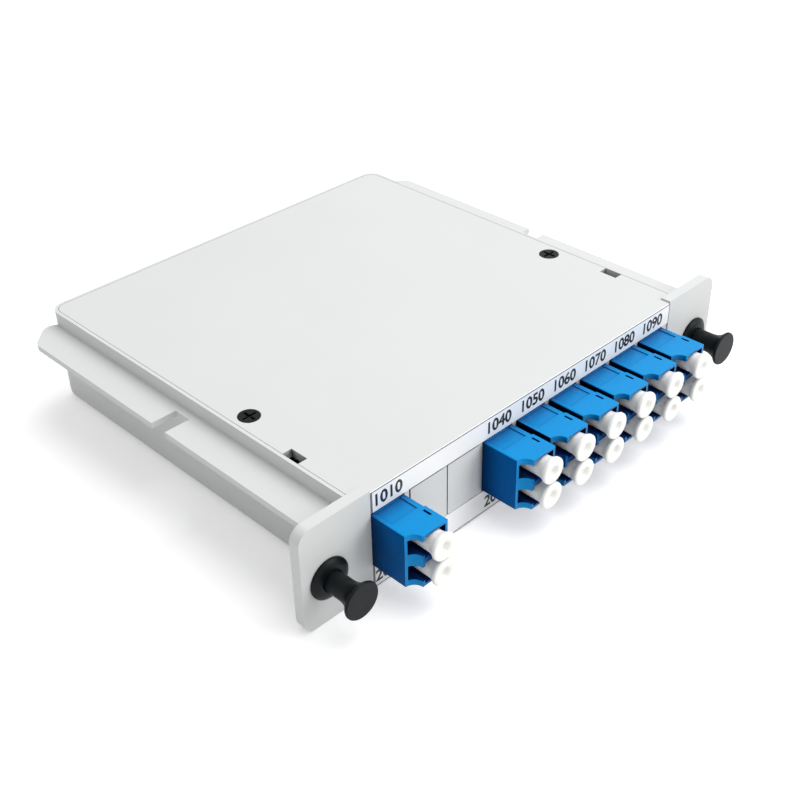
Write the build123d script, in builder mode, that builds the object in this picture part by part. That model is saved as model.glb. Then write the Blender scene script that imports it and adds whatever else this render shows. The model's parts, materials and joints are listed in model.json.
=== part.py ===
import os

from build123d import *

os.makedirs("parts", exist_ok=True)

# Plug-in wavelength multiplexer cassette, in millimetres.
# Origin at the middle of the tray's underside, front towards -Y, top towards +Z.

# Row of ports in the front wall, with the unused windows after the first
port_count = 9
leading_count = 1
blank_count = 2
port_pitch = 10.45
port_row_x = -1.0

# Front flange and body
port_row_side = 4.575
ear_reach = 13.4
ear_step_inset = 4.2
ear_rise = 0.4
flange_thickness = 2.5
flange_corner = 3.0
cassette_depth = 102.6
body_height = 24.0
wall = 1.8
floor = 1.8
rim = 0.8
back_corner = 3.5
back_lower_edge = 2.4

# Cover
cover_thickness = 2.0
cover_gap = 0.1
notch_length = 4.6
notch_from_front = 18.5
notch_reach = 2.4
screw_from_side = 4.5
screw_from_front = 35.3
screw_head_radius = 2.5
screw_shank_radius = 1.25
screw_length = 9.0
screw_head_angle = 90.0
screw_hole_clearance = 0.15
recess_arm = 1.7
recess_width = 0.55
recess_depth = 0.7
post_radius = 3.0
post_hole_depth = 11.0

# Side rails
rail_reach = 8.0
rail_drop = 3.5
rail_thickness = 1.4
rail_chamfer = 6.5
rail_round = 3.0
rail_notch_from_front = 49.6
rail_notch_length = 4.6
rail_notch_depth = 6.1

# Port windows, labels and blanks
window_gap_x = 0.05
window_gap_z = 0.1
label_recess = 0.3
label_thickness = 0.25
label_edge = 0.2
blank_gap = 0.25
blank_flange_thickness = 2.0
blank_flange_reach = 1.6
upper_label_gap = 0.15
lower_label_gap = 0.1

# Duplex adapters, with their two ports one above the other
adapter_width = 9.1
adapter_height = 12.5
adapter_lift = 0.45
adapter_reach = 11.1
adapter_length = 26.0
adapter_step = 0.35
adapter_step_from_wall = 5.2
adapter_flange_thickness = 2.0
adapter_flange_reach = 1.6
retainer_thickness = 1.2
retainer_gap = 0.1
retainer_overlap = 0.7
adapter_pitch = 6.25
adapter_edge_scoop = 2.35
port_depth = 12.0
port_height = 5.0
port_left = 3.0
port_right = 8.45
latch_slot_left = 0.7
latch_slot_height = 3.4
ferrule_x = 5.7
holder_radius = 1.5
holder_bore = 0.85
holder_reach = 5.5
clip_recess_depth = 0.2
clip_recess_length = 4.6
clip_recess_left = 0.9
clip_recess_right = 7.6
slot_length = 2.0
slot_width = 0.5
slot_from_right = 0.9
slot_from_wall = 5.9
slot_depth = 1.2

# Alignment sleeves in the adapters
sleeve_gap = 0.02
sleeve_wall = 0.2
sleeve_slit = 0.3

# Dust caps
cap_stem_radius = 2.35
cap_disc_radius = 3.0
cap_disc_thickness = 0.7
cap_stand_off = 2.65
cap_flare_length = 2.0
cap_insertion = 8.0
cap_bore_radius = 1.75
cap_bore_depth = 7.0
cap_dimple_radius = 1.4
cap_dimple_floor_radius = 1.05
cap_dimple_depth = 0.35
cap_edge = 0.2

# Inner duplex plugs
ferrule_radius = 0.625
ferrule_reach = 1.0
plug_side = 4.5
plug_bore_depth = 6.5
plug_length = 17.0
boot_length = 10.0
boot_start_radius = 1.9
boot_taper = 4.0
boot_gap = 0.5
holder_gap = 0.3
clip_length = 4.0

# Latches in the ears
latch_from_end = 6.5
latch_z = 10.5
ear_hole_radius = 3.3
grommet_flange_radius = 4.55
grommet_flange_edge = 0.5
grommet_dome = 0.8
grommet_neck_gap = 0.05
grommet_barb = 0.35
grommet_barb_length = 1.2
nose_radius = 2.9
nose_length = 3.2
nose_tip_radius = 2.2
nose_tip_length = 1.4
nose_slit = 0.9
plunger_radius = 2.3
plunger_gap = 0.05
plunger_pin_radius = 1.3
plunger_pin_gap = 0.05
plunger_seat_depth = 1.4
plunger_travel = 3.2
knob_stand_off = 9.15
knob_radius = 4.05
knob_rim = 0.6
knob_flare = 3.6

# Filters, their holders and the fibre coil
filter_rows = 6
filter_pitch = 5.6
filter_radius = 2.3
filter_length = 28.0
filter_column_x = 17.0
filter_end_edge = 0.5
comb_thickness = 1.2
comb_spacing = 16.0
comb_seat_gap = 0.05
filter_lift = 3.2
coil_width = 88.0
coil_length = 58.0
coil_end_straight = 4.0
coil_section = 2.4
coil_edge = 0.5
coil_from_back = 4.0
guide_wall = 1.2
guide_gap = 0.15
guide_height = 6.0
guide_arm = 24.0

# Sizes and places that follow from the ones above
body_width = port_count * port_pitch + 2 * port_row_side
flange_width = body_width + 2 * ear_reach
flange_height = body_height + ear_rise
front_y = -cassette_depth / 2
back_y = cassette_depth / 2
wall_back_y = front_y + flange_thickness
face_y = front_y + label_recess
body_half = body_width / 2
ear_inner = body_half - ear_step_inset
screw_x = body_half - screw_from_side
latch_x = flange_width / 2 - latch_from_end
dome_bulge = 2 * grommet_dome / 3
dome_middle_height = 0.68 * grommet_dome
rail_top = body_height - rail_drop
inner_half = body_half - wall
cover_seat_z = body_height - cover_thickness
adapter_z = (floor + cover_seat_z) / 2 + adapter_lift
window_width = adapter_width + 2 * window_gap_x
window_height = adapter_height + 2 * window_gap_z
window_top = adapter_z + window_height / 2
window_bottom = adapter_z - window_height / 2
adapter_front_y = front_y - adapter_reach
adapter_back_y = adapter_front_y + adapter_length
midwall_front_y = adapter_front_y + port_depth
midwall_back_y = adapter_back_y - port_depth
cap_face_y = adapter_front_y - cap_stand_off
sleeve_radius = holder_bore - sleeve_gap
rail_outer = body_half + rail_reach
screw_y = front_y + screw_from_front
coil_corner = (coil_length - coil_end_straight) / 2
coil_y = back_y - wall - coil_from_back - coil_length / 2
filter_z = floor + filter_lift
retainer_y = wall_back_y + adapter_flange_thickness + retainer_gap + retainer_thickness / 2
ports = range(1, port_count + 1)
blank_ports = ports[leading_count : leading_count + blank_count]


def port_x(port):
    return port_row_x + (port - (port_count + 1) / 2) * port_pitch


def write(builder, name):
    builder.part.label = name
    export_step(builder.part, f"parts/{name}.step")


def turned_axis(x, z):
    return Axis((x, 0, z), (0, 1, 0))


# Tray: body, front flange with its two ears, side rails and inner holders in one moulding
with BuildPart() as base_tray:
    with BuildSketch():
        with Locations((0, (wall_back_y + back_y) / 2)):
            Rectangle(body_width, back_y - wall_back_y)
    extrude(amount=body_height)
    back_verticals = base_tray.edges().filter_by(Axis.Z).group_by(Axis.Y)[-1]
    fillet(back_verticals, back_corner)
    fillet(base_tray.edges().group_by(Axis.Z)[0].sort_by(Axis.Y)[-1], back_lower_edge)
    with BuildSketch(Plane.XZ.offset(-front_y)):
        with Locations((0, flange_height / 2)):
            RectangleRounded(flange_width, flange_height, flange_corner)
    extrude(amount=-flange_thickness)

    # Hollow, the step that carries the cover and the open top of the front wall
    with BuildSketch(Plane.XY.offset(floor)):
        with Locations((0, (wall_back_y + back_y - wall) / 2)):
            Rectangle(2 * inner_half, back_y - wall - wall_back_y)
        fillet(vertices().group_by(Axis.Y)[-1], back_corner - wall)
    extrude(amount=body_height, mode=Mode.SUBTRACT)
    with BuildSketch(Plane.XY.offset(cover_seat_z)):
        with Locations((0, (wall_back_y + back_y - rim) / 2)):
            Rectangle(2 * (body_half - rim), back_y - rim - wall_back_y)
        fillet(vertices().group_by(Axis.Y)[-1], back_corner - rim)
        with Locations((0, front_y + flange_thickness / 2)):
            Rectangle(2 * ear_inner, flange_thickness)
    extrude(amount=flange_height, mode=Mode.SUBTRACT)

    # Step in the front face for the labels, and the port windows
    with BuildSketch(Plane.XZ.offset(-front_y)):
        with Locations((0, flange_height / 2)):
            Rectangle(2 * ear_inner, flange_height)
    extrude(amount=-label_recess, mode=Mode.SUBTRACT)
    with BuildSketch(Plane.XZ.offset(-front_y)):
        for port in ports:
            with Locations((port_x(port), adapter_z)):
                Rectangle(window_width, window_height)
    extrude(amount=-flange_thickness, mode=Mode.SUBTRACT)

    # Rails, each with a notch for the chassis and a cut back corner
    with BuildSketch(Plane.XY.offset(rail_top - rail_thickness)):
        with BuildLine():
            Polyline(
                (body_half - wall / 2, wall_back_y),
                (rail_outer, wall_back_y),
                (rail_outer, back_y - rail_chamfer),
                (rail_outer - rail_chamfer, back_y),
                (body_half - wall / 2, back_y - back_corner),
                close=True,
            )
        make_face()
        fillet(vertices().sort_by_distance((rail_outer, back_y))[:2], rail_round)
        with Locations((rail_outer - rail_notch_depth / 2, front_y + rail_notch_from_front)):
            Rectangle(rail_notch_depth, rail_notch_length, mode=Mode.SUBTRACT)
        mirror(about=Plane.YZ)
    extrude(amount=rail_thickness)

    # Holes in the ears for the latches
    with BuildSketch(Plane.XZ.offset(-front_y)):
        with Locations((-latch_x, latch_z), (latch_x, latch_z)):
            Circle(ear_hole_radius)
    extrude(amount=-flange_thickness, mode=Mode.SUBTRACT)

    # Posts for the cover's screws
    with BuildSketch(Plane.XY.offset(floor)):
        with Locations((-screw_x, screw_y), (screw_x, screw_y)):
            Circle(post_radius)
        Rectangle(body_width - wall, cassette_depth, mode=Mode.INTERSECT)
    extrude(amount=cover_seat_z - floor)
    with BuildSketch(Plane.XY.offset(cover_seat_z)):
        with Locations((-screw_x, screw_y), (screw_x, screw_y)):
            Circle(screw_shank_radius)
    extrude(amount=-post_hole_depth, mode=Mode.SUBTRACT)

    # Gaps in the step below the cover's side notches
    with BuildSketch(Plane.XY.offset(cover_seat_z)):
        for side in (-1, 1):
            with Locations((side * (inner_half + (wall - rim) / 2), front_y + notch_from_front)):
                Rectangle(wall - rim, notch_length)
    extrude(amount=-cover_thickness, mode=Mode.SUBTRACT)

    # Low rib that traps the adapters' flanges
    with BuildSketch(Plane.XY.offset(floor)):
        with Locations((0, retainer_y)):
            Rectangle(2 * inner_half, retainer_thickness)
    extrude(amount=adapter_z - adapter_height / 2 - adapter_flange_reach + retainer_overlap - floor)

    # Combs whose half-round seats hold the filters
    with BuildSketch(Plane.XY.offset(floor)):
        for column in (-filter_column_x, filter_column_x):
            for end in (-comb_spacing / 2, comb_spacing / 2):
                with Locations((column + end, coil_y)):
                    Rectangle(comb_thickness, filter_rows * filter_pitch)
    extrude(amount=filter_lift)
    with BuildSketch(Plane.YZ.offset(-filter_column_x - filter_length)):
        for row in range(filter_rows):
            with Locations((coil_y + (row - (filter_rows - 1) / 2) * filter_pitch, filter_z)):
                Circle(filter_radius + comb_seat_gap)
    extrude(amount=2 * (filter_column_x + filter_length), mode=Mode.SUBTRACT)

    # Curved guides inside the corners of the fibre coil
    with BuildSketch(Plane.XY.offset(floor)):
        with Locations((0, coil_y)):
            RectangleRounded(
                coil_width - 2 * (coil_section + guide_gap),
                coil_length - 2 * (coil_section + guide_gap),
                coil_corner - coil_section - guide_gap,
            )
            RectangleRounded(
                coil_width - 2 * (coil_section + guide_gap + guide_wall),
                coil_length - 2 * (coil_section + guide_gap + guide_wall),
                coil_corner - coil_section - guide_gap - guide_wall,
                mode=Mode.SUBTRACT,
            )
            Rectangle(coil_width - 2 * guide_arm, coil_length, mode=Mode.SUBTRACT)
            Rectangle(coil_width, coil_length - 2 * guide_arm, mode=Mode.SUBTRACT)
    extrude(amount=guide_height)
write(base_tray, "base_tray")


# Cover: a flat plate between the rims, reaching forward between the ears
with BuildPart() as top_cover:
    with BuildSketch(Plane.XY.offset(cover_seat_z)):
        with Locations((0, (wall_back_y + back_y - rim) / 2)):
            Rectangle(2 * (body_half - rim - cover_gap), back_y - rim - wall_back_y - 2 * cover_gap)
        fillet(vertices().group_by(Axis.Y)[-1], back_corner - rim - cover_gap)
        with Locations((0, (face_y + wall_back_y) / 2 + cover_gap)):
            Rectangle(2 * (ear_inner - cover_gap), wall_back_y - face_y + 2 * cover_gap)
        for side in (-1, 1):
            with Locations((side * (body_half - rim - notch_reach / 2), front_y + notch_from_front)):
                Rectangle(notch_reach, notch_length, mode=Mode.SUBTRACT)
    extrude(amount=cover_thickness)
    with BuildSketch(Plane.XY.offset(cover_seat_z)):
        with Locations((0, retainer_y)):
            Rectangle(2 * (inner_half - cover_gap), retainer_thickness)
    extrude(amount=adapter_z + adapter_height / 2 + adapter_flange_reach - retainer_overlap - cover_seat_z)
    with Locations((-screw_x, screw_y, body_height), (screw_x, screw_y, body_height)):
        CounterSinkHole(
            screw_shank_radius + screw_hole_clearance,
            screw_head_radius,
            counter_sink_angle=screw_head_angle,
        )
write(top_cover, "top_cover")

# Countersunk screws with a cross recess
head_depth = screw_head_radius - screw_shank_radius
for side, place in ((-1, "left"), (1, "right")):
    with BuildPart() as cover_screw:
        with BuildSketch(Plane.XZ.offset(-screw_y)):
            with BuildLine():
                Polyline(
                    (side * screw_x, body_height),
                    (side * screw_x + screw_head_radius, body_height),
                    (side * screw_x + screw_shank_radius, body_height - head_depth),
                    (side * screw_x + screw_shank_radius, body_height - screw_length + screw_shank_radius),
                    (side * screw_x, body_height - screw_length),
                    close=True,
                )
            make_face()
        revolve(axis=Axis((side * screw_x, screw_y, 0), (0, 0, 1)))
        with BuildSketch(Plane.XY.offset(body_height)):
            with Locations((side * screw_x, screw_y)):
                Rectangle(2 * recess_arm, recess_width)
                Rectangle(recess_width, 2 * recess_arm)
        extrude(amount=-recess_depth, mode=Mode.SUBTRACT)
    write(cover_screw, f"cover_screw_{place}")

# Labels above and below the ports
label_width = 2 * (ear_inner - label_edge)
for name, low, high in (
    ("label_upper", window_top + upper_label_gap, body_height - label_edge),
    ("label_lower", label_edge, window_bottom - lower_label_gap),
):
    with BuildPart() as label:
        with BuildSketch(Plane.XZ.offset(-face_y)):
            with Locations((0, (low + high) / 2)):
                Rectangle(label_width, high - low)
        extrude(amount=label_thickness)
    write(label, name)

# Blank plates in the unused windows, each with a flange behind the wall
for port in blank_ports:
    with BuildPart() as blank_plate:
        with BuildSketch(Plane.XZ.offset(-face_y)):
            with Locations((port_x(port), adapter_z)):
                Rectangle(window_width - 2 * blank_gap, window_height - 2 * blank_gap)
        extrude(amount=-(wall_back_y - face_y))
        with BuildSketch(Plane.XZ.offset(-wall_back_y)):
            with Locations((port_x(port), adapter_z)):
                Rectangle(adapter_width, adapter_height + 2 * blank_flange_reach)
        extrude(amount=-blank_flange_thickness)
    write(blank_plate, f"blank_plate_{port}")

# Duplex adapters: one moulding with two ports at each end and a wall with sleeve holders between
for port in [port for port in ports if port not in blank_ports]:
    left = port_x(port) - adapter_width / 2
    right = left + adapter_width
    bores = [(left + ferrule_x, adapter_z + level * adapter_pitch / 2) for level in (1, -1)]
    with BuildPart() as adapter:
        with BuildSketch(Plane.XZ.offset(-adapter_front_y)):
            with Locations((left + adapter_width / 2, adapter_z)):
                Rectangle(adapter_width, adapter_height)
        extrude(amount=-adapter_length)
        with BuildSketch(Plane.XZ.offset(-front_y + adapter_step_from_wall)):
            with Locations((right - adapter_step / 2, adapter_z)):
                Rectangle(adapter_step, adapter_height)
        extrude(amount=-adapter_length, mode=Mode.SUBTRACT)
        with BuildSketch(Plane.XZ.offset(-wall_back_y)):
            with Locations((left + adapter_width / 2, adapter_z)):
                Rectangle(adapter_width, adapter_height + 2 * adapter_flange_reach)
        extrude(amount=-adapter_flange_thickness)
        for start, depth in ((adapter_front_y, port_depth), (adapter_back_y, -port_depth)):
            with BuildSketch(Plane.XZ.offset(-start)):
                for bore_x, bore_z in bores:
                    with Locations((left + (port_left + port_right) / 2, bore_z)):
                        Rectangle(port_right - port_left, port_height)
                    with Locations((left + (latch_slot_left + port_left) / 2, bore_z)):
                        Rectangle(port_left - latch_slot_left, latch_slot_height)
            extrude(amount=-depth, mode=Mode.SUBTRACT)
        with BuildSketch(Plane.XZ.offset(-midwall_front_y + holder_reach)):
            with Locations(bores):
                Circle(holder_radius)
        extrude(amount=-(midwall_back_y - midwall_front_y + 2 * holder_reach))
        with BuildSketch(Plane.XZ.offset(-midwall_front_y + holder_reach)):
            with Locations(bores):
                Circle(holder_bore)
        extrude(amount=-(midwall_back_y - midwall_front_y + 2 * holder_reach), mode=Mode.SUBTRACT)
        with BuildSketch(Plane.XY.offset(adapter_z - adapter_height / 2)):
            with Locations((left, adapter_front_y)):
                Circle(adapter_edge_scoop)
        extrude(amount=adapter_height, mode=Mode.SUBTRACT)
        clip_recess_x = left + (clip_recess_left + clip_recess_right) / 2
        with BuildSketch(Plane.XY.offset(adapter_z + adapter_height / 2)):
            with Locations((clip_recess_x, front_y - clip_recess_length / 2)):
                Rectangle(clip_recess_right - clip_recess_left, clip_recess_length)
        extrude(amount=-clip_recess_depth, mode=Mode.SUBTRACT)
        slot_x = right - slot_from_right - slot_width / 2
        with BuildSketch(Plane.XY.offset(adapter_z + adapter_height / 2)):
            with Locations((slot_x, front_y - slot_from_wall - slot_length / 2)):
                Rectangle(slot_width, slot_length)
        extrude(amount=-slot_depth, mode=Mode.SUBTRACT)
    write(adapter, f"adapter_{port}")

    # Split ceramic sleeves, one in each holder
    with BuildPart() as sleeves:
        with BuildSketch(Plane.XZ.offset(-midwall_front_y + holder_reach)):
            with Locations(bores):
                Circle(sleeve_radius)
                Circle(sleeve_radius - sleeve_wall, mode=Mode.SUBTRACT)
            for bore_x, bore_z in bores:
                with Locations((bore_x, bore_z + sleeve_radius)):
                    Rectangle(sleeve_slit, 2 * sleeve_radius, mode=Mode.SUBTRACT)
        extrude(amount=-(midwall_back_y - midwall_front_y + 2 * holder_reach))
    write(sleeves, f"sleeve_pair_{port}")

    # Inner plug pair with its ferrules, boots and the clip that joins the two
    plug_front_y = midwall_back_y + holder_gap
    plug_back_y = plug_front_y + plug_length
    with BuildPart() as plug_pair:
        with BuildSketch(Plane.XZ.offset(-plug_front_y)):
            for bore_x, bore_z in bores:
                with Locations((bore_x, bore_z)):
                    Rectangle(plug_side, plug_side)
        extrude(amount=-plug_length)
        with BuildSketch(Plane.XZ.offset(-plug_front_y)):
            with Locations(bores):
                Circle(cap_bore_radius)
        extrude(amount=-plug_bore_depth, mode=Mode.SUBTRACT)
        with BuildSketch(Plane.XZ.offset(-plug_front_y - ferrule_reach)):
            with Locations(bores):
                Circle(ferrule_radius)
        extrude(amount=-(plug_bore_depth - ferrule_reach))
        with BuildSketch(Plane.XZ.offset(-adapter_back_y - boot_gap)):
            with Locations((left + ferrule_x, adapter_z)):
                Rectangle(plug_side, adapter_pitch)
        extrude(amount=-clip_length)
        for bore_x, bore_z in bores:
            with BuildSketch(Plane.XZ.offset(-plug_back_y)):
                with Locations((bore_x, bore_z)):
                    Circle(boot_start_radius)
            extrude(amount=-boot_length, taper=boot_taper)
    write(plug_pair, f"plug_pair_{port}")

    # Dust caps: a hollow stem that flares to a dimpled disc
    for row, (bore_x, bore_z) in zip(("a", "b"), bores):
        stem_end_y = adapter_front_y + cap_insertion
        flare_start_y = cap_face_y + cap_disc_thickness
        with BuildPart() as dust_cap:
            with BuildSketch(Plane.XY.offset(bore_z)):
                with BuildLine():
                    Polyline(
                        (bore_x + cap_stem_radius, flare_start_y + cap_flare_length),
                        (bore_x + cap_stem_radius, stem_end_y - cap_edge),
                        (bore_x + cap_stem_radius - cap_edge, stem_end_y),
                        (bore_x + cap_bore_radius, stem_end_y),
                        (bore_x + cap_bore_radius, stem_end_y - cap_bore_depth),
                        (bore_x, stem_end_y - cap_bore_depth),
                        (bore_x, cap_face_y + cap_dimple_depth),
                        (bore_x + cap_dimple_floor_radius, cap_face_y + cap_dimple_depth),
                        (bore_x + cap_dimple_radius, cap_face_y),
                        (bore_x + cap_disc_radius - cap_edge, cap_face_y),
                        (bore_x + cap_disc_radius, cap_face_y + cap_edge),
                        (bore_x + cap_disc_radius, flare_start_y),
                    )
                    TangentArc(
                        (bore_x + cap_stem_radius, flare_start_y + cap_flare_length),
                        (bore_x + cap_disc_radius, flare_start_y),
                        tangent=(0, -1),
                    )
                make_face()
            revolve(axis=turned_axis(bore_x, bore_z))
        write(dust_cap, f"dust_cap_{port}{row}")

# Latches: a split grommet in each ear and the plunger that slides in it
for side, place in ((-1, "left"), (1, "right")):
    centre = side * latch_x
    dome_y = front_y - grommet_flange_edge - grommet_dome
    dome_middle_radius = (plunger_radius + plunger_gap + grommet_flange_radius + dome_bulge) / 2
    dome_middle_y = front_y - grommet_flange_edge - dome_middle_height
    barb_y = wall_back_y + grommet_neck_gap
    nose_start_y = barb_y + grommet_barb_length
    nose_end_y = nose_start_y + nose_length
    tip_y = nose_end_y + nose_tip_length
    seat_y = dome_y + plunger_travel + plunger_seat_depth
    with BuildPart() as grommet:
        with BuildSketch(Plane.XY.offset(latch_z)):
            with BuildLine():
                Polyline(
                    (centre + grommet_flange_radius, front_y - grommet_flange_edge),
                    (centre + grommet_flange_radius, front_y),
                    (centre + ear_hole_radius - grommet_neck_gap, front_y),
                    (centre + ear_hole_radius - grommet_neck_gap, barb_y),
                    (centre + ear_hole_radius + grommet_barb, barb_y),
                    (centre + nose_radius, nose_start_y),
                    (centre + nose_radius, nose_end_y),
                    (centre + nose_tip_radius, tip_y),
                    (centre + plunger_pin_radius + plunger_pin_gap, tip_y),
                    (centre + plunger_pin_radius + plunger_pin_gap, seat_y),
                    (centre + plunger_radius + plunger_gap, seat_y),
                    (centre + plunger_radius + plunger_gap, dome_y),
                )
                ThreePointArc(
                    (centre + plunger_radius + plunger_gap, dome_y),
                    (centre + dome_middle_radius, dome_middle_y),
                    (centre + grommet_flange_radius, front_y - grommet_flange_edge),
                )
            make_face()
        revolve(axis=turned_axis(centre, latch_z))
        with BuildSketch(Plane.XZ.offset(-barb_y - grommet_barb_length)):
            with Locations((centre, latch_z)):
                Rectangle(nose_slit, 2 * (nose_radius + grommet_barb + ear_hole_radius))
                Rectangle(2 * (nose_radius + grommet_barb + ear_hole_radius), nose_slit)
        extrude(amount=-(tip_y - nose_start_y), mode=Mode.SUBTRACT)
    write(grommet, f"latch_grommet_{place}")

    knob_face_y = front_y - knob_stand_off
    flare_y = knob_face_y + knob_rim
    shoulder_y = seat_y - plunger_travel
    with BuildPart() as plunger:
        with BuildSketch(Plane.XY.offset(latch_z)):
            with BuildLine():
                Polyline(
                    (centre + plunger_radius, flare_y + knob_flare),
                    (centre + plunger_radius, shoulder_y),
                    (centre + plunger_pin_radius, shoulder_y),
                    (centre + plunger_pin_radius, nose_end_y),
                    (centre, nose_end_y + plunger_pin_radius),
                    (centre, knob_face_y),
                    (centre + knob_radius - cap_edge, knob_face_y),
                    (centre + knob_radius, knob_face_y + cap_edge),
                    (centre + knob_radius, flare_y),
                )
                TangentArc(
                    (centre + plunger_radius, flare_y + knob_flare),
                    (centre + knob_radius, flare_y),
                    tangent=(0, -1),
                )
            make_face()
        revolve(axis=turned_axis(centre, latch_z))
    write(plunger, f"latch_plunger_{place}")

# Thin-film filters in their combs
for column, place in ((-filter_column_x, "left"), (filter_column_x, "right")):
    for row in range(filter_rows):
        row_y = coil_y + (row - (filter_rows - 1) / 2) * filter_pitch
        with BuildPart() as filter_tube:
            with BuildSketch(Plane.YZ.offset(column - filter_length / 2)):
                with Locations((row_y, filter_z)):
                    Circle(filter_radius)
            extrude(amount=filter_length)
            chamfer(filter_tube.edges().filter_by(GeomType.CIRCLE), filter_end_edge)
        write(filter_tube, f"filter_tube_{place}_{row + 1}")

# Fibre coil: one closed solid of the wound bundle's outer shape
with BuildPart() as fibre_coil:
    with BuildSketch(Plane.XY.offset(floor)):
        with Locations((0, coil_y)):
            RectangleRounded(coil_width, coil_length, coil_corner)
            RectangleRounded(
                coil_width - 2 * coil_section,
                coil_length - 2 * coil_section,
                coil_corner - coil_section,
                mode=Mode.SUBTRACT,
            )
    extrude(amount=coil_section)
    chamfer(fibre_coil.edges().filter_by(Plane.XY), coil_edge)
write(fibre_coil, "fibre_coil")
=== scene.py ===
"""Looks of the plug-in multiplexer cassette: finishes, turned parts, printing, light and camera."""

import functools
import json
import math
from collections import namedtuple

import bmesh
import bpy
from mathutils import Matrix, Vector

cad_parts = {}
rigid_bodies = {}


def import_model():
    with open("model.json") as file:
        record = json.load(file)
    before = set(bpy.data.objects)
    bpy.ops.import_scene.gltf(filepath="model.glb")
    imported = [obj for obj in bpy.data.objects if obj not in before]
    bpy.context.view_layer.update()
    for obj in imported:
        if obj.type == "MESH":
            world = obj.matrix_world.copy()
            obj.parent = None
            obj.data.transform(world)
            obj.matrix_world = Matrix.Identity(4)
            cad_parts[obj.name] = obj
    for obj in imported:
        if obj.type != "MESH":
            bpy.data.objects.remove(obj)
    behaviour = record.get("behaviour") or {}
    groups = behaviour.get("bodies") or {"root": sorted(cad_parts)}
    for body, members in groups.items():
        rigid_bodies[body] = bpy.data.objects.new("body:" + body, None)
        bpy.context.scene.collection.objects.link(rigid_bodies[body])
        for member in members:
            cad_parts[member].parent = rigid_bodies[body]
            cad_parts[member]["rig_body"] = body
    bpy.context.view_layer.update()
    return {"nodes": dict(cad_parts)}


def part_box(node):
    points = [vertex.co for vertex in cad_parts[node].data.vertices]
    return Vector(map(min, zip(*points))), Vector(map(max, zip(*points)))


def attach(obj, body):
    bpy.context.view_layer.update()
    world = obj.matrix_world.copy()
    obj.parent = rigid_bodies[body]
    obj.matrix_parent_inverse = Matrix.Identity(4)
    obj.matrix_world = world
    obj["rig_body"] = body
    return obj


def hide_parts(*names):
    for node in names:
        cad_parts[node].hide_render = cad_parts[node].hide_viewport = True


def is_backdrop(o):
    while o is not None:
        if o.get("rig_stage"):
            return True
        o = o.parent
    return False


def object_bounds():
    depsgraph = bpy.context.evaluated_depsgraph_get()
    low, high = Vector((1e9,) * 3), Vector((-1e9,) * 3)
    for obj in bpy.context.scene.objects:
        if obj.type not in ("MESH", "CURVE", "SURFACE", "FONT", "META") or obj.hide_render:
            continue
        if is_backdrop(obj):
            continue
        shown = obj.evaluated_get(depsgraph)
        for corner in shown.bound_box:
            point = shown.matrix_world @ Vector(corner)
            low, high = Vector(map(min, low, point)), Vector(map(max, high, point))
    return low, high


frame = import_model()
nodes = frame["nodes"]
MM = 0.001

# Places with an adapter and with a blank plate, rows of dust caps, and sides with a latch and a screw
PORTS = (1, 4, 5, 6, 7, 8, 9)
BLANKS = (2, 3)
ROWS = ("a", "b")
SIDES = ("left", "right")

# Sizes shared with the solids, in millimetres
PORT_PITCH = 10.45
WINDOW_WIDTH = 9.2
WINDOW_HEIGHT = 12.7
BLANK_GAP = 0.25

# The cover's side notches: front, back, reach and margin, and how much a wall's normal may point up
NOTCH_FRONT = -35.3
NOTCH_BACK = -30.3
NOTCH_REACH = 2.4
NOTCH_MARGIN = 0.2
WALL_SLOPE = 0.5

# Edge rounds that moulding leaves on each kind of piece, in millimetres
HOUSING_EDGE = 0.28
ADAPTER_EDGE = 0.18
ADAPTER_LONG_EDGE = 0.8
PLATE_EDGE = 0.08
LATCH_EDGE = 0.14
SCREW_EDGE = 0.2

# Steps across an edge's round, angles that count as sharp and as flat, and how near points are joined
EDGE_SEGMENTS = 3
SLAB_SEGMENTS = 2
SHARP_ANGLE = math.radians(38)
FLAT_ANGLE = math.radians(1)
MERGE_DISTANCE = 0.002

# An adapter's long outer edges: least length, distance from its left side, and share along Y
LONG_EDGE_LENGTH = 2.0
LEFT_MARGIN = 0.05
ALONG_SHARE = 0.9

# An adapter's flanks, darkened as painted shade of its sides: least area in square millimetres, and how
# square to X
SHADED_FLANK_AREA = 3.0
SIDEWAYS = 0.99

# How far a blank plate's face stands out, in millimetres
FACE_THICKNESS = 0.12

# Dust caps, in millimetres
CAP_STEM_RADIUS = 2.35
CAP_RIM = 0.7
CAP_ROUND = 0.3
CAP_FLARE_LENGTH = 2.0
CAP_DIMPLE_RADIUS = 1.5
CAP_DIMPLE_FLOOR = 0.6
CAP_DIMPLE_DEPTH = 0.9
CAP_WALL = 0.6
CAP_BORE_DEPTH = 7.0

# Steps of the caps' turned surface: round the axis, and along each part of the profile
TURN_STEPS = 56
DIMPLE_STEPS = 8
RIM_STEPS = 5
FLARE_STEPS = 10
END_STEPS = 4

# Printing, in millimetres
NUMBER_HEIGHT = 3.9
STROKE_GAIN = 0.13
INK_THICKNESS = 0.015
INK_MERGE = 0.001
RULE_WIDTH = 0.26
# Width of the grey strip of painted shadow at each label's left end
END_SHADOW_WIDTH = 0.42

# Labels: what their numbers count from, and where the numbers' middle is, as a share of the height
LABELS = (("label_upper", 1000, 0.47), ("label_lower", 2000, 0.42))

# Runs of neighbouring ports, as the first one and how many, and what each port adds to the number
PORT_RUNS = ((1, 1), (4, 6))
NUMBER_STEP = 10

# The photograph's camera: focal length in its frame's pixels, sizes in millimetres, angles in degrees
PHOTO_PIXELS = 800
FOCAL_PIXELS = 1232.4
SENSOR_MM = 36.0
CAMERA_PLACE = (-166.1, -182.06, 166.27)
CAMERA_HEADING = 44.169
CAMERA_PITCH = -34.589
CAMERA_ROLL = -1.368
NEAREST_SEEN = 10

# Floor: half its width in metres, and its grey
FLOOR_REACH = 3.0
PAPER_GREY = (0.86, 0.86, 0.86, 1.0)

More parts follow.
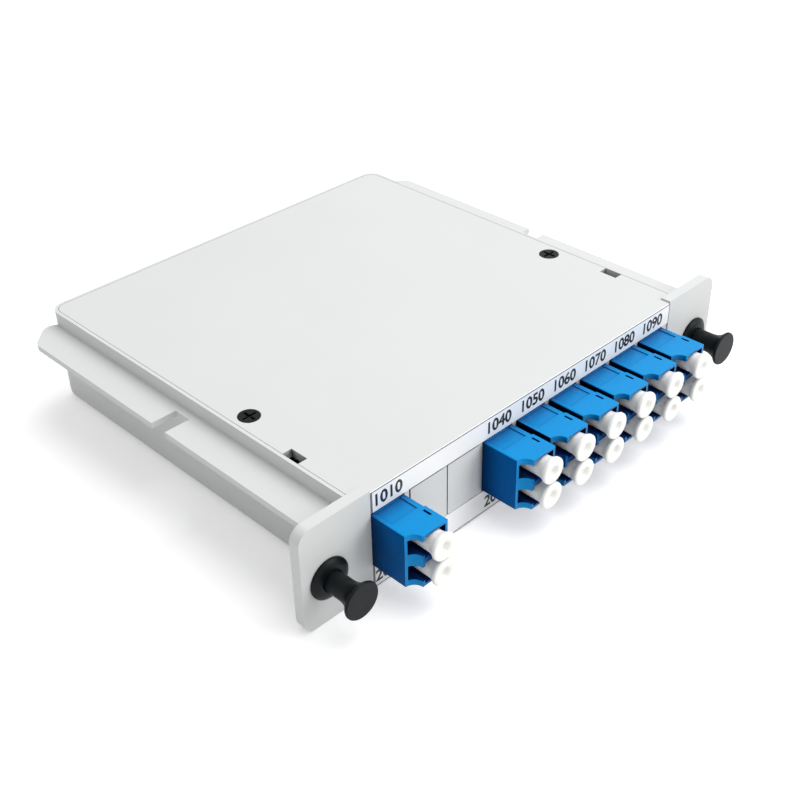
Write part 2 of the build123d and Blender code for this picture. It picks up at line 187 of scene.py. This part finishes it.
# The floor's glow near the part and far from it, and between which distances in metres it grows
PAPER_GLOW = (0.36, 0.7)
GLOW_RANGE = (0.3, 1.0)

# How bright the air is, as a light and as it is seen
AIR_GLOW = (0.5, 1.0)

# Colour of the floor's glow and of the air
WHITE = (1.0, 1.0, 1.0, 1.0)

# Soft boxes: place in metres, width in metres and power in watts, and the point that they face
SOFT_BOXES = {
    "overhead_softbox": ((0.30, -0.10, 0.85), 0.8, 6.0),
    "front_right_softbox": ((0.50, -0.80, 0.40), 0.5, 3.4),
}
LIT_POINT = (0, 0, 0.01)

# Colours as seen in even light: the two tones of each surface
ABS_TONES = ("#D8DAD9", "#D3D5D4")
FILM_TONES = ("#FFFFFF", "#F4F5F5")
INK_TONES = ("#0C0C0E", "#1C1C1F")
RULE_AND_SHADOW_TONES = ("#5C5F61", "#7A7D7F")
PORT_TONES = ("#0090D6", "#008AD0")
# The flanks' tones are the adapters' blue darkened as painted shade of their sides
SHADED_FLANK_TONES = ("#00589E", "#005094")
CAP_TONES = ("#FEFEFB", "#EFEFEA")
NYLON_TONES = ("#070D10", "#0F1517")
OXIDE_TONES = ("#0E0F10", "#17191A")
ZIRCONIA_TONES = ("#EDEBE2", "#E4E1D6")
STAINLESS_TONES = ("#B9BBBC", "#A9ABAC")
FIBRE_TONES = ("#D9B93A", "#CDAA2C")

# Colours of the painted shade in hollows, and of gloss
ABS_PAINTED_SHADE = "#596163"
GAP_PAINTED_SHADE = "#0D0F10"
PORT_PAINTED_SHADE = "#002A6C"
FLANK_PAINTED_SHADE = "#000C2C"
PORT_SHEEN = "#7CC4F0"
FLANK_SHEEN = "#0090D6"

# Painted shade in hollows: its colour, the rays' reach in millimetres, and the open sky where it begins
# and is full
PaintedShade = namedtuple("PaintedShade", ("colour", "reach", "begins", "full"))

# Rays that find out how sheltered a point is for the painted shade, and the part of the speckle that the
# gloss follows
PAINTED_SHADE_SAMPLES = 8
SPECKLE_RANGE = (0.3, 0.7)


def linear(hex_colour):
    """An sRGB hex colour as linear red, green, blue and alpha."""
    values = [int(hex_colour[i : i + 2], 16) / 255 for i in (1, 3, 5)]
    return tuple(v / 12.92 if v <= 0.04045 else ((v + 0.055) / 1.055) ** 2.4 for v in values) + (1.0,)


def add(tree, kind, inputs=(), **settings):
    """One node with its settings, and its inputs as values or as sockets to link."""
    node = tree.nodes.new(kind)
    for name, value in settings.items():
        setattr(node, name, value)
    for key, value in dict(inputs).items():
        if isinstance(value, bpy.types.NodeSocket):
            tree.links.new(value, node.inputs[key])
        else:
            node.inputs[key].default_value = value
    return node


def noise(tree, place, size, detail, roughness):
    """Noise whose features are about this many millimetres across."""
    inputs = {"Vector": place, "Scale": 1 / (size * MM), "Detail": detail, "Roughness": roughness}
    return add(tree, "ShaderNodeTexNoise", inputs).outputs["Fac"]


def blend(tree, share, first, second):
    """The first colour where the share is 0, and the second where it is 1."""
    # The node's colour sockets share their names with others, so they go by number
    return add(tree, "ShaderNodeMix", {0: share, 6: first, 7: second}, data_type="RGBA").outputs[2]


def mapped(tree, value, source, target=(0.0, 1.0), **settings):
    """A value moved from one range to another."""
    ends = dict(zip(("From Min", "From Max", "To Min", "To Max"), (*source, *target)))
    return add(tree, "ShaderNodeMapRange", {"Value": value, **ends}, **settings).outputs["Result"]


def grained(name, tones, patch, grain, depth, rough, painted_shade=None, **shader):
    """A moulded or printed surface: two close tones in soft patches, a fine grain and an uneven gloss.

    Patch, grain and depth are sizes in millimetres, and rough is the gloss's two ends.
    """
    material = bpy.data.materials.new(name)
    material.use_nodes = True
    tree = material.node_tree
    tree.nodes.clear()
    place = add(tree, "ShaderNodeTexCoord").outputs["Object"]
    light, dark = (linear(tone) for tone in tones)
    colour = blend(tree, noise(tree, place, patch, detail=3.0, roughness=0.5), light, dark)
    # Painted shade: the colour turns darker where few of the rays get out, as shade in hollows and gaps
    if painted_shade:
        shelter = add(
            tree, "ShaderNodeAmbientOcclusion", {"Distance": painted_shade.reach * MM}, samples=PAINTED_SHADE_SAMPLES
        )
        share = mapped(
            tree, shelter.outputs["AO"], (painted_shade.begins, painted_shade.full), interpolation_type="SMOOTHSTEP"
        )
        colour = blend(tree, share, colour, linear(painted_shade.colour))
    speckle = noise(tree, place, grain, detail=2.0, roughness=0.6)
    relief = add(tree, "ShaderNodeBump", {"Height": speckle, "Strength": 1.0, "Distance": depth * MM})
    surface = add(
        tree,
        "ShaderNodeBsdfPrincipled",
        {
            "Base Color": colour,
            "Roughness": mapped(tree, speckle, SPECKLE_RANGE, rough),
            "Normal": relief.outputs["Normal"],
            **shader,
        },
    )
    add(tree, "ShaderNodeOutputMaterial", {"Surface": surface.outputs["BSDF"]})
    return material


# Moulded ABS with a fine spark-eroded texture: pale grey, matt, a little uneven in tone, with painted
# shade in tight corners and gaps
ABS_GRAIN = {"patch": 28, "grain": 0.35, "depth": 0.010, "rough": (0.50, 0.62), "IOR": 1.54}
abs_housing = grained(
    "spark_textured_abs",
    ABS_TONES,
    painted_shade=PaintedShade(ABS_PAINTED_SHADE, reach=3.0, begins=0.42, full=0.08),
    **ABS_GRAIN,
)
# The same ABS with near-black painted shade round a narrow gap or in the cover's side notches, where
# hardly any light comes
gap_shaded_abs = grained(
    "spark_textured_abs_with_painted_gap_shade",
    ABS_TONES,
    painted_shade=PaintedShade(GAP_PAINTED_SHADE, reach=3.0, begins=0.85, full=0.3),
    **ABS_GRAIN,
)
# Polyester label film: bright white and smooth, with a soft sheen
label_film = grained(
    "polyester_label_film", FILM_TONES, patch=12, grain=0.5, depth=0.002, rough=(0.34, 0.42), IOR=1.57
)
# Screen-printed ink: dense black, a little duller than the film
print_ink = grained(
    "screen_printed_ink", INK_TONES, patch=2, grain=0.2, depth=0.001, rough=(0.5, 0.6), IOR=1.5
)
# The thin grey rules printed along the labels' outer edges, and at their left ends a grey strip of painted
# shadow
rule_and_shadow_ink = grained(
    "printed_grey_rule_and_painted_end_shadow", RULE_AND_SHADOW_TONES, patch=2, grain=0.2, depth=0.001, rough=(0.5, 0.6), IOR=1.5
)
# Moulded PBT of the adapters: satin azure with faint flow marks, and painted shade near the panel and
# inside the ports
adapter_pbt = grained(
    "moulded_blue_pbt",
    PORT_TONES,
    patch=3.5,
    grain=0.25,
    depth=0.004,
    rough=(0.26, 0.36),
    painted_shade=PaintedShade(PORT_PAINTED_SHADE, reach=9.0, begins=0.94, full=0.35),
    IOR=1.5,
    **{"Specular IOR Level": 0.3, "Specular Tint": linear(PORT_SHEEN)},
)
# The same PBT on the adapters' flanks: smooth, deeper in tone as painted shade of the sides, with hardly
# any of the room's white in it
shaded_flank_pbt = grained(
    "blue_pbt_with_painted_flank_shade",
    SHADED_FLANK_TONES,
    patch=5,
    grain=0.25,
    depth=0.001,
    rough=(0.16, 0.24),
    painted_shade=PaintedShade(FLANK_PAINTED_SHADE, reach=9.0, begins=0.94, full=0.3),
    IOR=1.3,
    **{"Specular IOR Level": 0.08, "Specular Tint": linear(FLANK_SHEEN)},
)
# Soft LDPE of the dust caps: milky white, light goes a little way in
cap_ldpe = grained(
    "soft_white_ldpe",
    CAP_TONES,
    patch=2.5,
    grain=0.3,
    depth=0.003,
    rough=(0.40, 0.50),
    IOR=1.51,
    **{"Subsurface Weight": 0.35, "Subsurface Radius": (1.0, 0.9, 0.8), "Subsurface Scale": 0.6 * MM},
)
# Nylon of the latches: near black with a satin skin
latch_nylon = grained(
    "moulded_black_nylon",
    NYLON_TONES,
    patch=3,
    grain=0.3,
    depth=0.004,
    rough=(0.34, 0.44),
    IOR=1.53,
    **{"Specular IOR Level": 0.13},
)
# Steel screws with black oxide: dark metal, a little uneven in gloss
oxide_steel = grained(
    "black_oxide_steel", OXIDE_TONES, patch=1, grain=0.15, depth=0.002, rough=(0.24, 0.36), Metallic=0.85
)
# Ground zirconia sleeves: creamy and glossy
zirconia = grained(
    "ground_zirconia", ZIRCONIA_TONES, patch=1, grain=0.1, depth=0.001, rough=(0.12, 0.2), IOR=2.16
)
# Drawn stainless tubes of the filters
stainless = grained(
    "drawn_stainless_tube",
    STAINLESS_TONES,
    patch=4,
    grain=0.2,
    depth=0.002,
    rough=(0.22, 0.34),
    Metallic=1.0,
)
# Acrylate-coated fibre: yellow with a silky skin
fibre_coat = grained(
    "coated_fibre", FIBRE_TONES, patch=5, grain=0.3, depth=0.002, rough=(0.32, 0.42), IOR=1.5
)


def box_mm(node):
    """The two corners of a solid's box, in millimetres."""
    low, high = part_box(node)
    return low / MM, high / MM


def show(mesh, name, body, material, stands_for=()):
    """A finished piece as an object at the origin, riding on its body and standing for its solids."""
    piece = bpy.data.objects.new(name, mesh)
    bpy.context.scene.collection.objects.link(piece)
    mesh.materials.clear()
    mesh.materials.append(material)
    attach(piece, body)
    if stands_for:
        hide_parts(*stands_for)
    return piece


def finished_copy(node, edge, material, wider=None, other=None):
    """A solid's own surface with its flat faces joined and its edges rounded as moulding leaves them.

    Where given, wider is a second edge round and the test that picks its edges, and other is a second
    material and the test that picks its faces. The sizes are in millimetres.
    """
    source = nodes[node]
    mesh = bpy.data.meshes.new(f"{node}_finish")
    work = bmesh.new()
    work.from_mesh(source.data)
    bmesh.ops.remove_doubles(work, verts=work.verts, dist=MERGE_DISTANCE * MM)
    bmesh.ops.dissolve_limit(
        work, angle_limit=FLAT_ANGLE, verts=work.verts, edges=work.edges, delimit={"NORMAL"}
    )
    wide_edge, is_wide = wider or (edge, None)
    widest = max(edge, wide_edge)
    weight = work.edges.layers.float.new("bevel_weight_edge")
    for line in work.edges:
        if len(line.link_faces) == 2 and line.calc_face_angle() > SHARP_ANGLE:
            line[weight] = (wide_edge if is_wide and is_wide(line) else edge) / widest
            line.smooth = False
    work.to_mesh(mesh)
    work.free()
    mesh.shade_smooth()
    piece = show(mesh, f"{node}_finish", source["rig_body"], material, [node])
    if other:
        other_material, is_other = other
        mesh.materials.append(other_material)
        for face in mesh.polygons:
            if is_other(face):
                face.material_index = 1
    bevel = piece.modifiers.new("edge_round", "BEVEL")
    bevel.width = widest * MM
    bevel.segments = EDGE_SEGMENTS
    bevel.limit_method = "WEIGHT"
    bevel.use_clamp_overlap = True
    even = piece.modifiers.new("flat_faces_stay_flat", "WEIGHTED_NORMAL")
    even.keep_sharp = False


def slab(name, low, high, material, edge=0.0):
    """A flat strip or plate of the cassette between two corners, in millimetres."""
    mesh = bpy.data.meshes.new(name)
    work = bmesh.new()
    bmesh.ops.create_cube(work, size=1.0)
    bmesh.ops.scale(work, vec=(high - low) * MM, verts=work.verts)
    bmesh.ops.translate(work, vec=(low + high) / 2 * MM, verts=work.verts)
    work.to_mesh(mesh)
    work.free()
    piece = show(mesh, name, "cassette", material)
    if edge:
        bevel = piece.modifiers.new("edge_round", "BEVEL")
        bevel.width = edge * MM
        bevel.segments = SLAB_SEGMENTS


def turned_mesh(name, profile, axis_x, axis_z):
    """A mesh turned round an axis along Y. The profile is pairs of radius and Y, in millimetres."""
    mesh = bpy.data.meshes.new(name)
    work = bmesh.new()
    ring = [work.verts.new(((axis_x + r) * MM, y * MM, axis_z * MM)) for r, y in profile]
    edges = [work.edges.new(pair) for pair in zip(ring, ring[1:])]
    bmesh.ops.spin(
        work,
        geom=ring + edges,
        cent=(axis_x * MM, 0, axis_z * MM),
        axis=(0, 1, 0),
        angle=2 * math.pi,
        steps=TURN_STEPS,
        use_merge=True,
    )
    bmesh.ops.remove_doubles(work, verts=work.verts, dist=MERGE_DISTANCE * MM)
    bmesh.ops.recalc_face_normals(work, faces=work.faces)
    work.to_mesh(mesh)
    work.free()
    mesh.shade_smooth()
    mesh.set_sharp_from_angle(angle=SHARP_ANGLE)
    return mesh


def arc(centre, radius, start, end, steps):
    """Points of a profile's arc, from one angle to the other, in degrees."""
    angles = [math.radians(start + (end - start) * i / steps) for i in range(steps + 1)]
    return [(centre[0] + radius * math.cos(a), centre[1] + radius * math.sin(a)) for a in angles]


def flare(stem_radius, stem_y, rim_radius, rim_y):
    """A concave arc that leaves the stem in line with it and meets the rim."""
    rise, run = rim_radius - stem_radius, stem_y - rim_y
    radius = (rise**2 + run**2) / (2 * rise)
    angle = math.degrees(math.asin(run / radius))
    return arc((stem_radius + radius, stem_y), radius, 180, 180 + angle, FLARE_STEPS)


def cap_profile(face, end, rim_radius):
    """A dust cap's profile from the dimple in its face, over rim, flare and stem, to the bore's bottom."""
    rim_y = face + CAP_RIM
    profile = [(0, face + CAP_DIMPLE_DEPTH)]
    for i in range(DIMPLE_STEPS + 1):
        share = i / DIMPLE_STEPS
        radius = CAP_DIMPLE_FLOOR + (CAP_DIMPLE_RADIUS - CAP_DIMPLE_FLOOR) * share
        profile.append((radius, face + CAP_DIMPLE_DEPTH * (1 + math.cos(math.pi * share)) / 2))
    profile += arc((rim_radius - CAP_ROUND, face + CAP_ROUND), CAP_ROUND, -90, 0, RIM_STEPS)
    profile += reversed(flare(CAP_STEM_RADIUS, rim_y + CAP_FLARE_LENGTH, rim_radius, rim_y))
    profile += arc((CAP_STEM_RADIUS - CAP_ROUND, end - CAP_ROUND), CAP_ROUND, 0, 90, END_STEPS)
    bore_radius = CAP_STEM_RADIUS - CAP_WALL
    return profile + [(bore_radius, end), (bore_radius, end - CAP_BORE_DEPTH), (0, end - CAP_BORE_DEPTH)]


# Housing: the walls of the cover's side notches take the near-black painted shade of a gap
def in_side_notch(face, cover_side):
    """Whether a face of the cover is a wall of one of its side notches."""
    centre = face.center / MM
    inward = cover_side - abs(centre.x)
    along = NOTCH_FRONT < centre.y < NOTCH_BACK
    upright = abs(face.normal.z) < WALL_SLOPE
    return along and upright and NOTCH_MARGIN < inward < NOTCH_REACH + NOTCH_MARGIN


notch_walls = functools.partial(in_side_notch, cover_side=box_mm("top_cover")[1].x)
finished_copy("base_tray", HOUSING_EDGE, abs_housing)
finished_copy("top_cover", HOUSING_EDGE, abs_housing, other=(gap_shaded_abs, notch_walls))

# Blank plates: the face of each one reaches over the rib on its right and closes the gap below
for port in BLANKS:
    node = f"blank_plate_{port}"
    # The plates and their faces take the ABS with near-black painted shade round their gaps
    finished_copy(node, PLATE_EDGE, gap_shaded_abs)
    low, high = box_mm(node)
    middle_x, middle_z = (low.x + high.x) / 2, (low.z + high.z) / 2
    left = middle_x - WINDOW_WIDTH / 2 + BLANK_GAP
    right = middle_x + PORT_PITCH - WINDOW_WIDTH / 2
    if port + 1 in PORTS:
        right = min(right, box_mm(f"adapter_{port + 1}")[0].x)
    bottom, top = middle_z - WINDOW_HEIGHT / 2, middle_z + WINDOW_HEIGHT / 2 - BLANK_GAP
    slab(
        f"{node}_face",
        Vector((left, low.y - FACE_THICKNESS, bottom)),
        Vector((right, low.y + FACE_THICKNESS, top)),
        gap_shaded_abs,
        PLATE_EDGE,
    )


# Adapters: their long outer edges are rounded more than the rest, and their flanks take a darker blue as
# painted shade of the sides
def along_left_side(line, left):
    """Whether an edge runs along the adapter's left side, at its top or bottom."""
    first, last = (vertex.co / MM for vertex in line.verts)
    length = (last - first).length
    along = abs(first.y - last.y) > ALONG_SHARE * length
    at_left = max(abs(first.x - left), abs(last.x - left)) < LEFT_MARGIN
    return along and at_left and length > LONG_EDGE_LENGTH


def is_shaded_flank(face):
    """Whether a face is one of the large ones on an adapter's left or right."""
    return abs(face.normal.x) > SIDEWAYS and face.area > SHADED_FLANK_AREA * MM**2


for port in PORTS:
    node = f"adapter_{port}"
    long_outer_edge = functools.partial(along_left_side, left=box_mm(node)[0].x)
    finished_copy(
        node,
        ADAPTER_EDGE,
        adapter_pbt,
        wider=(ADAPTER_LONG_EDGE, long_outer_edge),
        other=(shaded_flank_pbt, is_shaded_flank),
    )

# Dust caps: a hollow stem that flares to a rim with a soft dimple in its face
for port in PORTS:
    for row in ROWS:
        node = f"dust_cap_{port}{row}"
        low, high = box_mm(node)
        cap = turned_mesh(
            f"{node}_finish",
            cap_profile(low.y, high.y, (high.x - low.x) / 2),
            (low.x + high.x) / 2,
            (low.z + high.z) / 2,
        )
        show(cap, f"{node}_finish", nodes[node]["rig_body"], cap_ldpe, [node])

# Latches and screws
for side in SIDES:
    finished_copy(f"latch_grommet_{side}", LATCH_EDGE, latch_nylon)
    finished_copy(f"latch_plunger_{side}", LATCH_EDGE, latch_nylon)
    finished_copy(f"cover_screw_{side}", SCREW_EDGE, oxide_steel)


# Printing on the labels: plain port numbers and a rule along the outer edge, and a grey strip of painted
# shadow at the left end
def number_row_tree():
    """Plain numbers set out at the ports' pitch, filled, given the thickness of ink and made real."""
    tree = bpy.data.node_groups.new("port_number_row", "GeometryNodeTree")
    sockets = tree.interface
    sockets.new_socket("Geometry", in_out="OUTPUT", socket_type="NodeSocketGeometry")
    kinds = {
        "First Number": "NodeSocketInt",
        "Number Step": "NodeSocketInt",
        "Count": "NodeSocketInt",
        "Pitch": "NodeSocketFloat",
        "Height": "NodeSocketFloat",
        "Stroke Gain": "NodeSocketFloat",
        "Ink Thickness": "NodeSocketFloat",
        "Place": "NodeSocketVector",
        "Ink": "NodeSocketMaterial",
    }
    for name, kind in kinds.items():
        sockets.new_socket(name, in_out="INPUT", socket_type=kind)
    given = add(tree, "NodeGroupInput").outputs
    start = add(tree, "GeometryNodeRepeatInput")
    end = add(tree, "GeometryNodeRepeatOutput")
    start.pair_with_output(end)
    tree.links.new(given["Count"], start.inputs["Iterations"])
    turn = start.outputs["Iteration"]

    # One number for each turn of the loop
    number = add(
        tree,
        "FunctionNodeIntegerMath",
        {0: turn, 1: given["Number Step"], 2: given["First Number"]},
        operation="MULTIPLY_ADD",
    )
    words = add(tree, "FunctionNodeValueToString", data_type="INT")
    tree.links.new(number.outputs[0], words.inputs["Value"])
    digits = add(
        tree,
        "GeometryNodeStringToCurves",
        {"String": words.outputs[0], "Size": given["Height"]},
        align_x="CENTER",
        align_y="MIDDLE",
    )
    curves = add(tree, "GeometryNodeRealizeInstances", {"Geometry": digits.outputs["Curve Instances"]})
    level = add(tree, "GeometryNodeSetCurveNormal", {"Curve": curves.outputs[0]}, mode="Z_UP")

    # Strokes made bolder, filled and moved to their port
    normal = add(tree, "GeometryNodeInputNormal").outputs[0]
    outward = add(tree, "ShaderNodeVectorMath", {0: normal, 3: given["Stroke Gain"]}, operation="SCALE")
    bold = add(
        tree, "GeometryNodeSetPosition", {"Geometry": level.outputs[0], "Offset": outward.outputs[0]}
    )
    faces = add(tree, "GeometryNodeFillCurve", {"Curve": bold.outputs[0]})
    shift = add(tree, "ShaderNodeMath", {0: turn, 1: given["Pitch"]}, operation="MULTIPLY")
    offset = add(tree, "ShaderNodeCombineXYZ", {"X": shift.outputs[0]})
    moved = add(
        tree, "GeometryNodeTransform", {"Geometry": faces.outputs[0], "Translation": offset.outputs[0]}
    )
    joined = add(tree, "GeometryNodeJoinGeometry")
    tree.links.new(start.outputs["Geometry"], joined.inputs[0])
    tree.links.new(moved.outputs[0], joined.inputs[0])
    tree.links.new(joined.outputs[0], end.inputs["Geometry"])
    flat = end.outputs["Geometry"]

    # Ink with a front, sides and a back, stood upright on the label
    back = add(tree, "GeometryNodeFlipFaces", {"Mesh": flat})
    front = add(
        tree,
        "GeometryNodeExtrudeMesh",
        {"Mesh": flat, "Offset Scale": given["Ink Thickness"], "Individual": False},
    )
    solid = add(tree, "GeometryNodeJoinGeometry")
    tree.links.new(back.outputs[0], solid.inputs[0])
    tree.links.new(front.outputs["Mesh"], solid.inputs[0])
    closed = add(
        tree, "GeometryNodeMergeByDistance", {"Geometry": solid.outputs[0], "Distance": INK_MERGE * MM}
    )
    upright = add(
        tree,
        "GeometryNodeTransform",
        {"Geometry": closed.outputs[0], "Translation": given["Place"], "Rotation": (math.pi / 2, 0, 0)},
    )
    real = add(tree, "GeometryNodeRealizeInstances", {"Geometry": upright.outputs[0]})
    inked = add(tree, "GeometryNodeSetMaterial", {"Geometry": real.outputs[0], "Material": given["Ink"]})
    out = add(tree, "NodeGroupOutput")
    tree.links.new(inked.outputs[0], out.inputs[0])
    return tree


def grown_mesh(name, tree, sizes):
    """What a node tree makes, as a plain mesh."""
    seed = bpy.data.objects.new(f"{name}_seed", bpy.data.meshes.new(f"{name}_seed"))
    bpy.context.scene.collection.objects.link(seed)
    maker = seed.modifiers.new("maker", "NODES")
    maker.node_group = tree
    for socket in tree.interface.items_tree:
        if socket.in_out == "INPUT" and socket.name in sizes:
            maker[socket.identifier] = sizes[socket.name]
    depsgraph = bpy.context.evaluated_depsgraph_get()
    mesh = bpy.data.meshes.new_from_object(seed.evaluated_get(depsgraph))
    mesh.name = name
    bpy.data.objects.remove(seed)
    return mesh


row_tree = number_row_tree()
for node, thousands, height_share in LABELS:
    low, high = box_mm(node)
    middle = low.z + (high.z - low.z) * height_share
    for group, (first, count) in enumerate(PORT_RUNS):
        port_low, port_high = box_mm(f"adapter_{first}")
        name = f"numbers_{node}_{group + 1}"
        sizes = {
            "First Number": thousands + first * NUMBER_STEP,
            "Number Step": NUMBER_STEP,
            "Count": count,
            "Pitch": PORT_PITCH * MM,
            "Height": NUMBER_HEIGHT * MM,
            "Stroke Gain": STROKE_GAIN * MM,
            "Ink Thickness": INK_THICKNESS * MM,
            "Place": ((port_low.x + port_high.x) / 2 * MM, low.y * MM, middle * MM),
            "Ink": print_ink,
        }
        show(grown_mesh(name, row_tree, sizes), name, "cassette", print_ink)
    rule_z = high.z - RULE_WIDTH if node == "label_upper" else low.z
    ink_front, ink_back = low.y - INK_THICKNESS, low.y + INK_THICKNESS
    slab(
        f"rule_{node}",
        Vector((low.x + END_SHADOW_WIDTH, ink_front, rule_z)),
        Vector((high.x, ink_back, rule_z + RULE_WIDTH)),
        rule_and_shadow_ink,
    )
    # A grey strip of painted shadow at the label's left end
    slab(
        f"painted_end_shadow_{node}",
        Vector((low.x, ink_front, low.z)),
        Vector((low.x + END_SHADOW_WIDTH, ink_back, high.z)),
        rule_and_shadow_ink,
    )

# What needs only its finish
plain_finishes = {
    "label_": label_film,
    "sleeve_pair_": zirconia,
    "plug_pair_": adapter_pbt,
    "filter_tube_": stainless,
    "fibre_coil": fibre_coat,
}
for name, solid in nodes.items():
    for start, material in plain_finishes.items():
        if name.startswith(start):
            solid.data.materials.clear()
            solid.data.materials.append(material)


# Floor and backdrop
def seen_directly(tree):
    """1 for rays that show the backdrop itself, to the camera or in gloss or glass, 0 for its light."""
    ray = add(tree, "ShaderNodeLightPath").outputs
    seen = ray["Is Camera Ray"]
    for other in ("Is Glossy Ray", "Is Transmission Ray"):
        seen = add(tree, "ShaderNodeMath", {0: seen, 1: ray[other]}, operation="MAXIMUM").outputs[0]
    return seen


floor_mesh = bpy.data.meshes.new("studio_floor")
corners = [(x * FLOOR_REACH, y * FLOOR_REACH, 0) for x, y in ((-1, -1), (1, -1), (1, 1), (-1, 1))]
floor_mesh.from_pydata(corners, [], [(0, 1, 2, 3)])
floor = bpy.data.objects.new("studio_floor", floor_mesh)
bpy.context.scene.collection.objects.link(floor)
floor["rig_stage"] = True

paper = bpy.data.materials.new("seamless_backdrop_paper")
paper.use_nodes = True
paper_tree = paper.node_tree
paper_tree.nodes.clear()
paper_diffuse = add(paper_tree, "ShaderNodeBsdfDiffuse", {"Color": PAPER_GREY})
paper_place = add(paper_tree, "ShaderNodeTexCoord").outputs["Object"]
paper_far = add(paper_tree, "ShaderNodeVectorMath", {0: paper_place}, operation="LENGTH").outputs["Value"]
paper_glow = add(
    paper_tree,
    "ShaderNodeEmission",
    {"Color": WHITE, "Strength": mapped(paper_tree, paper_far, GLOW_RANGE, PAPER_GLOW)},
)
paper_sum = add(paper_tree, "ShaderNodeAddShader", {0: paper_diffuse.outputs[0], 1: paper_glow.outputs[0]})
paper_seen = add(
    paper_tree,
    "ShaderNodeMixShader",
    {0: seen_directly(paper_tree), 1: paper_diffuse.outputs[0], 2: paper_sum.outputs[0]},
)
add(paper_tree, "ShaderNodeOutputMaterial", {"Surface": paper_seen.outputs[0]})
floor_mesh.materials.append(paper)

world = bpy.data.worlds.new("studio_air")
world.use_nodes = True
bpy.context.scene.world = world
air = world.node_tree
air.nodes.clear()
air_strength = mapped(air, seen_directly(air), (0.0, 1.0), AIR_GLOW)
air_light = add(air, "ShaderNodeBackground", {"Color": WHITE, "Strength": air_strength})
add(air, "ShaderNodeOutputWorld", {"Surface": air_light.outputs[0]})

# Square soft boxes that face the part
for name, (place, size, power) in SOFT_BOXES.items():
    lamp = bpy.data.lights.new(name, "AREA")
    lamp.shape = "SQUARE"
    lamp.size = size
    lamp.energy = power
    holder = bpy.data.objects.new(name, lamp)
    bpy.context.scene.collection.objects.link(holder)
    holder.location = place
    holder.rotation_euler = (Vector(LIT_POINT) - Vector(place)).to_track_quat("-Z", "Y").to_euler()

# Camera at the photograph's angle
lens = bpy.data.cameras.new("photo_camera")
lens.sensor_width = SENSOR_MM
lens.lens = FOCAL_PIXELS / PHOTO_PIXELS * SENSOR_MM
lens.clip_start = NEAREST_SEEN * MM
camera = bpy.data.objects.new("photo_camera", lens)
bpy.context.scene.collection.objects.link(camera)
turn = (
    Matrix.Rotation(math.radians(-CAMERA_HEADING), 4, "Z")
    @ Matrix.Rotation(math.radians(90 + CAMERA_PITCH), 4, "X")
    @ Matrix.Rotation(math.radians(CAMERA_ROLL), 4, "Z")
)
camera.matrix_world = Matrix.Translation(Vector(CAMERA_PLACE) * MM) @ turn
bpy.context.scene.camera = camera
bpy.context.scene.view_settings.view_transform = "Standard"

low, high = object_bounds()
